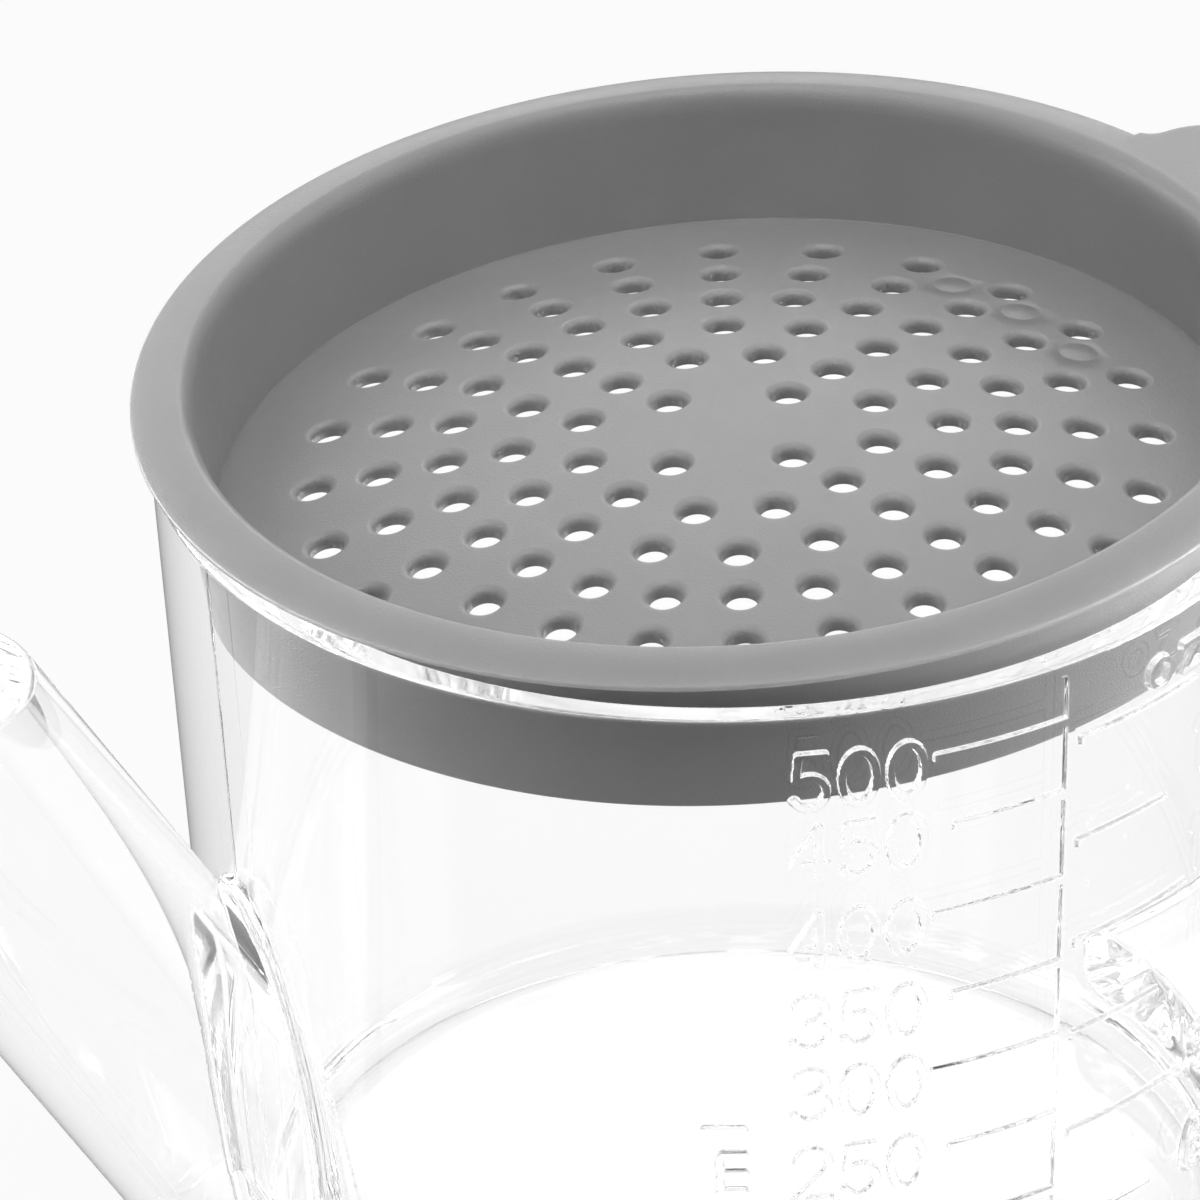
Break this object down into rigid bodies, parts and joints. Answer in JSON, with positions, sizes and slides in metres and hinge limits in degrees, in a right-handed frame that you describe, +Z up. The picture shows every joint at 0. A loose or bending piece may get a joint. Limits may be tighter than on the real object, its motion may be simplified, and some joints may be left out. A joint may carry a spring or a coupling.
{
  "type": "oil strainer pot",
  "caption": "Clear measuring jug with a straight low pouring spout, an ear handle and a lift-out domed strainer in its mouth.",
  "frame": {"origin": "centre of the jug's flat base, on the jug's axis", "axes": "+Z up along the jug's axis, -X towards the spout's mouth, +X towards the handle and the strainer's tab"},
  "size_m": [0.1743, 0.1, 0.0933],
  "materials": {
    "clear_plastic": "clear, polished",
    "grey_plastic": "satin moulded"
  },
  "bodies": {
    "jug": {"cup_wall": "clear_plastic", "cup_floor": "clear_plastic", "spout": "clear_plastic", "handle_top": "clear_plastic", "handle_grip": "clear_plastic", "handle_foot": "clear_plastic", "scale_rule": "clear_plastic", "ml_marks": "clear_plastic", "oz_marks": "clear_plastic"},
    "strainer": {"strainer_flange": "grey_plastic", "strainer_wall": "grey_plastic", "strainer_floor": "grey_plastic", "lift_tab": "grey_plastic"}
  },
  "joints": [
    {"name": "strainer_lift", "type": "slide", "parent": "jug", "child": "strainer", "axis": [0, 0, 1], "range_m": [0, 0.06]}
  ]
}
